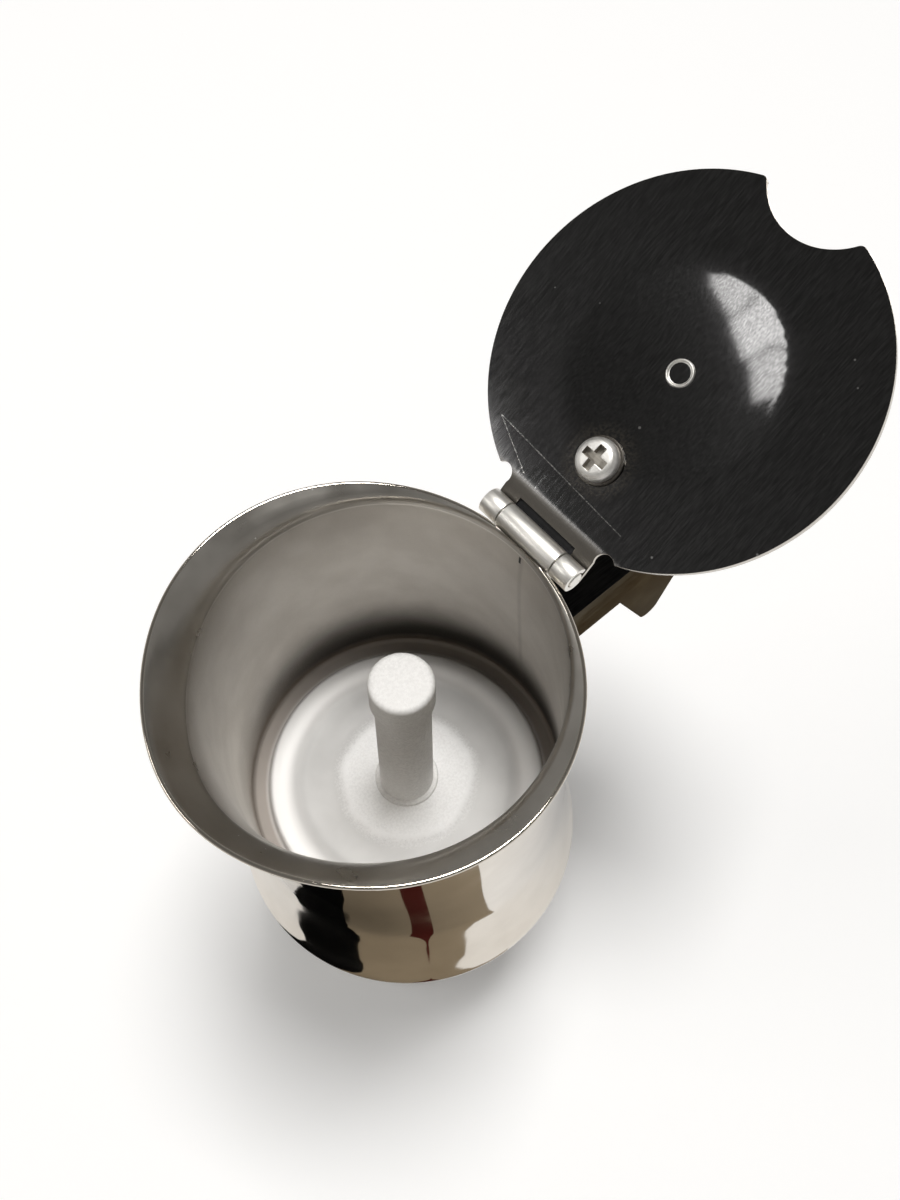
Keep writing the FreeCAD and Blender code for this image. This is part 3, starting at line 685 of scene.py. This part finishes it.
boilerSizes = {
    "segments": 144,
    "foot": 31.0,
    "footRound": 3.0,
    "shoulder": 38.0,
    "shoulderZ": 49.7,
    "shoulderRound": 4.0,
    "neck": 31.7,
    "neckIn": 30.0,
    "neckTop": 63.0,
    "wall": 1.0,
    "floor": 2.0,
    "threadStart": 1.6,  # above the shoulder
    "threadOut": 32.12,
    "threadSink": 0.05,  # its foot lies in the neck
    "threadHalf": 0.6,
    "threadPitch": 2.8,
    "threadTurns": 3.4,
    "threadSteps": 96,  # in a turn
    "bossHeight": 27.0,
    "bossRadius": 7.0,
    "bossBore": 4.1,
    "bossRise": 0.8,
    "bossSink": 0.9,
    "bossRound": 0.35,
}


def valveAxis():
    joint = next(j for j in frame["joints"] if j["name"] == "relief_slide")
    return Vector(joint["axis"])


def makeBoiler():
    s = boilerSizes
    bm = bmesh.new()
    wall = s["wall"]
    line = [
        (0.0, 0.0),
        (s["foot"] - 6.0, 0.0),
        (s["foot"], 0.0, s["footRound"]),
        (s["shoulder"], s["shoulderZ"], s["shoulderRound"]),
        (s["neck"], s["shoulderZ"], 0.6),
        (s["neck"], s["neckTop"], 0.5),
        (s["neckIn"], s["neckTop"], 0.5),
        (s["neckIn"], s["shoulderZ"] - wall, 0.5),
        (s["shoulder"] - wall, s["shoulderZ"] - wall, 3.0),
        (s["foot"] - wall, s["floor"], 2.0),
        (0.0, s["floor"]),
    ]
    spinProfile(bm, roundCorner(line, 6), s["segments"])
    steps = int(s["threadSteps"] * s["threadTurns"])
    start = s["shoulderZ"] + s["threadStart"]
    foot = s["neck"] - s["threadSink"]
    half = s["threadHalf"]
    corners = ((foot, start), (s["threadOut"], start + half), (foot, start + 2 * half))
    ridge = bm.faces.new([bm.verts.new((r * mm, 0, z * mm)) for r, z in corners])
    bmesh.ops.spin(bm, geom=[ridge], cent=(0, 0, 0), axis=(0, 0, 1),
                   dvec=(0, 0, s["threadPitch"] * mm * s["threadTurns"] / steps),
                   angle=2 * math.pi * s["threadTurns"], steps=steps, use_merge=False, use_duplicate=False)
    bmesh.ops.recalc_face_normals(bm, faces=bm.faces)
    finishMesh(bm, "boilerShell", "boiler", [polished], ["boiler_shell"], 45)
    share = (s["bossHeight"] - s["footRound"]) / (s["shoulderZ"] - s["shoulderRound"] - s["footRound"])
    place = Vector((0, s["foot"] + share * (s["shoulder"] - s["foot"]), s["bossHeight"])) * mm
    bm = bmesh.new()
    ring = [
        (s["bossBore"], -s["bossSink"]),
        (s["bossRadius"], -s["bossSink"]),
        (s["bossRadius"], s["bossRise"], s["bossRound"]),
        (s["bossBore"], s["bossRise"]),
        (s["bossBore"], -s["bossSink"]),
    ]
    spinProfile(bm, roundCorner(ring), 64, place, valveAxis())
    finishMesh(bm, "valveBoss", "boiler", [polished], (), 45)


# Lid: outline of one half, mirrored, with a raised rim, dished in the middle and bent up to the ears

lidSizes = {
    "under": 0.5,  # underside from the hinge's axis
    "thick": 0.9,
    "reach": 38.6,
    "radius": 35.3,
    "notchReach": 79.4,
    "notchRadius": 12.5,
    "notchCorner": 1.2,
    "rimRise": 1.5,  # edge turned up on the outer face
    "rimClear": 15.1,  # half width left flat by the hinge
    "scallopReach": 5.2,
    "scallopAcross": 13.1,
    "scallopRadius": 2.0,
    "earIn": 7.1,
    "earOut": 11.3,
    "slot": 4.0,
    "barrel": 2.6,
    "dishRadius": 19.2,
    "dishDepth": 2.3,
    "bendFrom": 6.8,
    "crease": 0.06,  # softened edge of the dish, as a share of its radius
    "grid": 1.6,  # cuts that let the sheet bend
    "edge": 0.045,
    "earEdge": 0.1,
    "earTurn": 285,
    "earSteps": 44,
    "slotMargin": 0.6,  # faces this near the slot take the dark finish: painted shade in the slot
}


def dishRise(radius):
    s = lidSizes
    share = radius / s["dishRadius"]
    edge = s["crease"]
    if share >= 1.0 + edge:
        return 0.0
    if share > 1.0 - edge:
        t = (1.0 + edge - share) / (2 * edge)
        return s["dishDepth"] * 2 * edge * t * t
    return s["dishDepth"] * (1.0 - share * share + edge * edge)


def bendRise(reach):
    s = lidSizes
    if reach >= s["bendFrom"]:
        return 0.0
    t = min(1.0, (s["bendFrom"] - reach) / s["bendFrom"])
    return (s["barrel"] - s["thick"] - s["under"]) * t * t * (3 - 2 * t)


def circlesMeet(a, aRadius, b, bRadius, side):
    # where two circles cross, on one side of the line between their centres
    apart = (b - a).length
    along = (apart ** 2 + aRadius ** 2 - bRadius ** 2) / (2 * apart)
    beside = math.sqrt(aRadius ** 2 - along ** 2)
    way = (b - a) / apart
    return a + way * along + Vector((-way.y, way.x)) * beside * side


def turnBetween(start, end, sense):
    # degrees from one direction to another, turning the given way
    degrees = math.degrees(math.atan2(end.y, end.x) - math.atan2(start.y, start.x))
    return degrees % 360 if sense > 0 else degrees % 360 - 360


def cutAcross(bm, way, places):
    # cuts the flat faces of a sheet at places in mm along a direction, so that it can be bent
    bm.normal_update()
    for place in places:
        flats = [f for f in bm.faces if abs(f.normal.z) > 0.99]
        edges = list({e for f in flats for e in f.edges})
        verts = list({v for f in flats for v in f.verts})
        bmesh.ops.bisect_plane(bm, geom=verts + edges + flats, dist=1e-7,
                               plane_co=Vector(way) * place * mm, plane_no=way)


def raiseRim(bm):
    # turns the round edge up: insets the outer face and lifts the strip along the outline
    s = lidSizes
    top = max(bm.faces, key=lambda f: f.calc_area() * f.normal.z)
    strip = bmesh.ops.inset_region(bm, faces=[top], thickness=s["thick"] * mm, depth=0.0, use_boundary=True,
                                   use_even_offset=True)["faces"]
    onEdge = []
    for face in strip:
        far = max(math.hypot(v.co.x / mm + s["reach"], v.co.y / mm) for v in face.verts)
        c = face.calc_center_median() / mm
        byHinge = c.x > -s["reach"] and abs(c.y) < s["rimClear"]
        if far > s["radius"] - 0.3 and not byHinge:
            onEdge.append(face)
    flat = [f for f in strip if f not in onEdge]
    bmesh.ops.dissolve_faces(bm, faces=flat + [top], use_verts=True)  # by the hinge and in the notch
    grown = bmesh.ops.extrude_face_region(bm, geom=onEdge)
    lifted = [g for g in grown["geom"] if isinstance(g, bmesh.types.BMVert)]
    bmesh.ops.translate(bm, verts=lifted, vec=(0, 0, s["rimRise"] * mm))
    bmesh.ops.delete(bm, geom=onEdge, context="FACES")  # the strip left inside the rim


def makeLidSheet():
    s = lidSizes
    bm = bmesh.new()
    first = bm.verts.new((-s["slot"] * mm, 0, 0))
    v = lineTo(bm, first, -s["slot"], s["earIn"])
    v = lineTo(bm, v, 0.0, s["earIn"])
    v = lineTo(bm, v, 0.0, s["earOut"])
    middle = Vector((-s["reach"], 0))
    notch = Vector((-s["notchReach"], 0))
    scallop = Vector((-s["scallopReach"], s["scallopAcross"]))
    drop = s["scallopAcross"] - s["earOut"]
    entry = Vector((scallop.x + math.sqrt(s["scallopRadius"] ** 2 - drop ** 2), s["earOut"]))
    leave = circlesMeet(scallop, s["scallopRadius"], middle, s["radius"], -1)
    corner = circlesMeet(middle, s["radius"] - s["notchCorner"],
                         notch, s["notchRadius"] + s["notchCorner"], -1)
    v = lineTo(bm, v, entry.x, entry.y)
    v = arcFrom(bm, v, scallop, turnBetween(entry - scallop, leave - scallop, -1), 20)
    v = arcFrom(bm, v, middle, turnBetween(leave - middle, corner - middle, 1), 110)
    v = arcFrom(bm, v, corner, turnBetween(corner - middle, notch - corner, 1), 6)
    arcFrom(bm, v, notch, turnBetween(corner - notch, Vector((1, 0)), -1), 24)
    bmesh.ops.mirror(bm, geom=bm.verts[:] + bm.edges[:], axis="Y", merge_dist=1e-6)
    bmesh.ops.remove_doubles(bm, verts=bm.verts, dist=1e-6)
    bmesh.ops.contextual_create(bm, geom=bm.edges[:])
    made = bmesh.ops.extrude_face_region(bm, geom=bm.faces[:], use_keep_orig=True)
    raised = [g for g in made["geom"] if isinstance(g, bmesh.types.BMVert)]
    bmesh.ops.translate(bm, verts=raised, vec=(0, 0, s["thick"] * mm))
    bmesh.ops.recalc_face_normals(bm, faces=bm.faces)
    raiseRim(bm)
    bevelEdges(bm, sharpEdges(bm, 60), s["edge"], 2)
    far = s["reach"] + s["radius"]
    cutAcross(bm, (1, 0, 0), [-i * s["grid"] for i in range(5, int(far / s["grid"]) + 1)])
    cutAcross(bm, (1, 0, 0), [-i * s["grid"] / 2 for i in range(1, 10)])  # closer where the tab bends
    cutAcross(bm, (0, 1, 0), [i * s["grid"] for i in range(-22, 23)])
    for face in bm.faces:
        c = face.calc_center_median() / mm
        # faces by the slot take the dark finish as painted shade
        bySlot = c.x > -s["slot"] - s["slotMargin"] and abs(c.y) < s["earIn"] + s["slotMargin"]
        face.material_index = 0 if face.normal.z < -0.99 or bySlot else 1
    for vert in bm.verts:
        reach = -vert.co.x / mm
        fromMiddle = math.hypot(reach - s["reach"], vert.co.y / mm)
        vert.co.z += (s["under"] + dishRise(fromMiddle) + bendRise(reach)) * mm
    openLid(bm)
    finishMesh(bm, "lidSheet", "lid", [lidUnder, lidOuter], ["lid_plate"], 20)


def makeEars():
    s = lidSizes
    bm = bmesh.new()
    for side in (-1, 1):
        start = min(side * s["earIn"], side * s["earOut"])
        ends = [bm.verts.new((0, start * mm, r * mm)) for r in (s["barrel"] - s["thick"], s["barrel"])]
        edge = bm.edges.new(ends)
        bmesh.ops.spin(bm, geom=ends + [edge], cent=(0, 0, 0), axis=(0, 1, 0), dvec=(0, 0, 0),
                       angle=math.radians(s["earTurn"]), steps=s["earSteps"], use_merge=False,
                       use_duplicate=False)
        sector = [f for f in bm.faces if all(abs(v.co.y - start * mm) < 1e-7 for v in f.verts)]
        grown = bmesh.ops.extrude_face_region(bm, geom=sector, use_keep_orig=True)
        far = [g for g in grown["geom"] if isinstance(g, bmesh.types.BMVert)]
        bmesh.ops.translate(bm, verts=far, vec=(0, (s["earOut"] - s["earIn"]) * mm, 0))
    bmesh.ops.recalc_face_normals(bm, faces=bm.faces)
    bevelEdges(bm, sharpEdges(bm, 50), s["earEdge"], 2)
    openLid(bm)
    finishMesh(bm, "lidEars", "lid", [hingeBright], (), 40)


rivetSizes = {"segments": 64, "radius": 2.65, "sink": 0.4, "side": 0.25, "ringRadius": 2.35, "ring": 0.6,
              "flat": 0.2, "flatRadius": 2.0}


def makeRivet():
    s = rivetSizes
    bm = bmesh.new()
    line = [
        (s["radius"], -s["sink"]),
        (s["radius"], s["side"], 0.25),
        (s["ringRadius"], s["ring"], 0.25),
        (s["flatRadius"], s["flat"], 0.15),
        (0.0, s["flat"]),
    ]
    spinProfile(bm, roundCorner(line), s["segments"], (0, 0, 0), (0, 0, -1))
    bmesh.ops.holes_fill(bm, edges=bm.edges)  # closes the side that lies in the lid
    # the flat end takes the dark lid finish: painted dark reflection
    for face in bm.faces:
        c = face.calc_center_median() / mm
        onFlat = len(face.verts) < s["segments"] and math.hypot(c.x, c.y) < s["flatRadius"] - 0.05
        face.material_index = 1 if onFlat else 0
    place = (-lidSizes["reach"] * mm, 0, (lidSizes["under"] + dishRise(0.0)) * mm)
    bmesh.ops.translate(bm, verts=bm.verts, vec=place)
    openLid(bm)
    finishMesh(bm, "lidRivet", "lid", [hingeBright, lidUnder], ["lid_rivet"], 40)


# Screw with painted shade in its recess, and handle with painted shade on the web between its cheeks

screwSizes = {"edge": 0.18, "head": -2.3, "recess": 2.7, "depth": 1.2, "radius": 3.9, "dome": 0.45,
              "grid": 0.6, "cuts": 7}
handleSizes = {"edge": 0.45, "top": 27.0}  # top of the arm below the rim


def makeScrew():
    s = screwSizes
    bm = softCopy("lid_screw", s["edge"], 3, 40)
    bmesh.ops.transform(bm, matrix=lidTurn.inverted(), verts=bm.verts)
    # the recess takes the darker finish: painted shade
    for face in bm.faces:
        c = face.calc_center_median() / mm
        inward = math.hypot(c.x + screwReach, c.y) < s["recess"]
        face.material_index = 1 if inward and s["head"] + 0.1 < c.z < s["head"] + s["depth"] + 0.1 else 0
    steps = [(i + 0.5) * s["grid"] for i in range(-s["cuts"], s["cuts"])]
    cutAcross(bm, (1, 0, 0), [step - screwReach for step in steps])
    cutAcross(bm, (0, 1, 0), steps)
    for vert in bm.verts:  # the head is a low dome
        share = math.hypot(vert.co.x / mm + screwReach, vert.co.y / mm) / s["radius"]
        if vert.co.z < (s["head"] + 0.3) * mm:
            vert.co.z -= s["dome"] * max(0.0, 1.0 - share * share) * mm
    openLid(bm)
    finishMesh(bm, "lidScrew", "lid", [screwBright, screwRecess], ["lid_screw"], 40)


def makeHandle():
    s = handleSizes
    bm = softCopy("handle_channel", s["edge"], 3, 25)
    for face in bm.faces:
        c = face.calc_center_median()
        # the top of the web takes the painted shade finish
        onTop = face.normal.z > 0.8 and c.z > rimZ - (s["top"] + 0.3) * mm
        face.material_index = 1 if onTop else 0
    finishMesh(bm, "handleChannel", "jug", [handleSteel, handleWebShade], ["handle_channel"], 40)


# a black flap in the lid's slot behind the knuckle: a dark sheet put there as painted shade
gripSizes = {"edge": 1.2, "shadeFlapLow": (-3.98, -7.0, 1.45), "shadeFlapHigh": (-2.35, 7.0, 2.0)}


def makeGrip():
    s = gripSizes
    bm = softCopy("lid_grip", s["edge"], 3, 30)
    low, high = Vector(s["shadeFlapLow"]), Vector(s["shadeFlapHigh"])
    size = Matrix.Diagonal((*(high - low) * mm, 1.0))
    place = Matrix.Translation((low + high) / 2 * mm)
    # the painted shade flap
    bmesh.ops.create_cube(bm, size=1.0, matrix=lidTurn @ place @ size)
    finishMesh(bm, "lidGrip", "lid", [gripBlack], ["lid_grip"], 40)


# Pieces whose solids are right and only need softened edges

softPieces = [  # new name, node, body, finish, slot, edge width in mm, angle of a sharp edge
    ("hingeBracket", "hinge_bracket", "jug", hingeBright, "hinge_steel", 0.25, 40),
    ("hingePin", "hinge_pin", "jug", hingeBright, "hinge_steel", 0.3, 40),
    ("handlePad", "handle_pad", "jug", handleSteel, "handle_steel", 0.3, 40),
    ("screwWasher", "screw_washer", "lid", washerDark, "hinge_steel", 0.2, 40),
    ("valveBody", "valve_body", "boiler", brass, "brass", 0.35, 30),
    ("valveNut", "valve_nut", "boiler", brass, "brass", 0.35, 30),
    ("valvePin", "valve_pin", "relief", stemSteel, "stem_steel", 0.2, 40),
    ("valveWasher", "valve_washer", "boiler", fibre, "fibre", 0.2, 40),
]

plainFinishes = {
    "funnel_basket": satin, "funnel_stem": satin, "funnel_screen": satin, "gasket": silicone,
    "filter_plate": satin, "thread_collar": satin, "valve_spring": stemSteel,
}

makeJug()
makeCollectorFloor()
makeColumn()
makeBoiler()
print("jug and boiler ready")
makeLidSheet()
makeEars()
makeRivet()
makeScrew()
makeGrip()
print("lid ready")
makeHandle()
for label, node, body, finish, slot, width, degrees in softPieces:
    finishMesh(softCopy(node, width, 3, degrees), label, body, [finish], [node], 40)
for node, finish in plainFinishes.items():
    mesh = frame["nodes"][node].data
    mesh.materials.clear()
    mesh.materials.append(finish)
print("softened pieces and carried-over solids ready")


# Camera, floor and light

cameraSizes = {
    "sensor": 36.0,
    "lens": 34.5,
    "right": (0.7523, -0.6587, 0.0125),
    "down": (-0.5745, -0.6653, -0.4769),
    "forward": (0.3225, 0.3516, -0.8789),
    "fromRim": (-52.75, -70.17, 175.93),  # mm from the column's axis at the rim
}


def makeCamera():
    data = bpy.data.cameras.new("photoCamera")
    data.sensor_width = cameraSizes["sensor"]
    data.lens = cameraSizes["lens"]
    data.clip_start = 0.01
    camera = bpy.data.objects.new("photoCamera", data)
    bpy.context.scene.collection.objects.link(camera)
    columns = (Vector(cameraSizes["right"]), -Vector(cameraSizes["down"]), -Vector(cameraSizes["forward"]))
    turn = Matrix([[c[i] for c in columns] for i in range(3)]).to_quaternion()
    camera.rotation_mode = "QUATERNION"
    camera.rotation_quaternion = turn
    camera.location = Vector(cameraSizes["fromRim"]) * mm + Vector((0, 0, rimZ))
    bpy.context.scene.camera = camera


floorLift = 0.16  # glow that keeps the open floor white


def makeFloor():
    bm = bmesh.new()
    bmesh.ops.create_grid(bm, x_segments=1, y_segments=1, size=6.0)
    mesh = bpy.data.meshes.new("floor")
    bm.to_mesh(mesh)
    bm.free()
    floor = bpy.data.objects.new("floor", mesh)
    bpy.context.scene.collection.objects.link(floor)
    material = bpy.data.materials.new("paleFloor")
    material.use_nodes = True
    shader = material.node_tree.nodes["Principled BSDF"]
    shader.inputs["Base Color"].default_value = (0.92, 0.92, 0.92, 1.0)
    shader.inputs["Roughness"].default_value = 0.9
    path = addNode(material.node_tree, "ShaderNodeLightPath")
    seen = path.outputs["Is Camera Ray"]
    for ray in ("Is Glossy Ray", "Is Transmission Ray"):
        seen = mathNode(material.node_tree, "MAXIMUM", seen, path.outputs[ray])
    lift = mathNode(material.node_tree, "MULTIPLY", seen, floorLift)
    material.node_tree.links.new(lift, shader.inputs["Emission Strength"])
    shader.inputs["Emission Color"].default_value = (1.0, 1.0, 1.0, 1.0)
    mesh.materials.append(material)


# on the floor by the pouring side: height and corners in mm, colour; only mirrored, by the jug
darkCards = {
    "darkCard": (0.7, [(-43, 10), (-43, -8), (-50, -15), (-58, -19), (-66, -30), (-70, -39), (-74, -43),
                       (-79, -34), (-84, -20), (-79, -4), (-68, 9), (-53, 15)], (0.004, 0.004, 0.004)),
    "tanCard": (0.5, [(-44, -4), (-46, -6), (-52, -13), (-60, -16), (-68, -28), (-71, -37), (-74, -40),
                      (-90, -58), (-48, -95), (-36, -80), (-22, -75), (-8, -66), (4, -66), (2, -52),
                      (-8, -44), (-30, -34)], (0.33, 0.275, 0.20)),
    "brownCard": (0.9, [(-40, -47), (-31, -39), (-24, -46), (-29, -54), (-41, -66), (-40, -55)],
                  (0.075, 0.016, 0.013)),
}
cardReach = 0.053  # rays shorter than this pass through the cards, in metres


def makeCards():
    for name, (height, corners, colour) in darkCards.items():
        bm = bmesh.new()
        bm.faces.new([bm.verts.new((x * mm, y * mm, height * mm)) for x, y in corners])
        mesh = bpy.data.meshes.new(name)
        bm.to_mesh(mesh)
        bm.free()
        card = bpy.data.objects.new(name, mesh)
        bpy.context.scene.collection.objects.link(card)
        material = bpy.data.materials.new(name)
        material.use_nodes = True
        shader = material.node_tree.nodes["Principled BSDF"]
        shader.inputs["Base Color"].default_value = (*colour, 1.0)
        shader.inputs["Specular IOR Level"].default_value = 0.0
        path = addNode(material.node_tree, "ShaderNodeLightPath")
        fromJug = mathNode(material.node_tree, "GREATER_THAN", path.outputs["Ray Length"], cardReach)
        material.node_tree.links.new(fromJug, shader.inputs["Alpha"])  # hides most of them from the boiler
        mesh.materials.append(material)
        card.visible_camera = False
        card.visible_diffuse = False
        card.visible_shadow = False


def makeWorld():
    # pale near the horizon and dim overhead
    world = bpy.data.worlds.new("studio")
    bpy.context.scene.world = world
    world.use_nodes = True
    tree = world.node_tree
    parts = addNode(tree, "ShaderNodeSeparateXYZ")
    tree.links.new(addNode(tree, "ShaderNodeTexCoord").outputs["Generated"], parts.inputs["Vector"])
    ramp = addNode(tree, "ShaderNodeValToRGB")
    ramp.color_ramp.interpolation = "EASE"
    ramp.color_ramp.elements[0].position = 0.0
    ramp.color_ramp.elements[0].color = (0.29, 0.284, 0.274, 1.0)
    ramp.color_ramp.elements[1].position = 0.95
    ramp.color_ramp.elements[1].color = (0.12, 0.117, 0.112, 1.0)
    middle = ramp.color_ramp.elements.new(0.45)
    middle.color = (0.28, 0.275, 0.267, 1.0)
    tree.links.new(parts.outputs["Z"], ramp.inputs["Fac"])
    tree.links.new(ramp.outputs["Color"], tree.nodes["Background"].inputs["Color"])


def areaLight(name, place, target, width, height, power, colour):
    data = bpy.data.lights.new(name, "AREA")
    data.shape = "RECTANGLE"
    data.size = width
    data.size_y = height
    data.energy = power
    data.color = colour
    lamp = bpy.data.objects.new(name, data)
    bpy.context.scene.collection.objects.link(lamp)
    lamp.location = place
    lamp.rotation_mode = "QUATERNION"
    lamp.rotation_quaternion = (Vector(target) - Vector(place)).to_track_quat("-Z", "Y")


windowSizes = {"target": (0, 0, 0.12), "width": 0.215, "height": 0.28, "colour": (1.0, 0.99, 0.97)}
windowPanes = [  # three panes side by side, which the dish of the lid mirrors
    ("windowLeft", (-0.781, 0.863, 1.062), 0.8),
    ("windowMiddle", (-0.915, 0.664, 1.062), 0.95),
    ("windowRight", (-1.049, 0.465, 1.062), 0.85),
]

makeCamera()
makeFloor()
makeCards()
makeWorld()
for name, place, power in windowPanes:
    w = windowSizes
    areaLight(name, place, w["target"], w["width"], w["height"], power, w["colour"])
areaLight("overheadPanel", (0.3, 0.12, 2.4), (0, 0, 0.1), 0.68, 0.68, 39.0, (1.0, 0.99, 0.975))
print("camera, floor and light ready")

bpy.context.scene.view_settings.view_transform = "Standard"
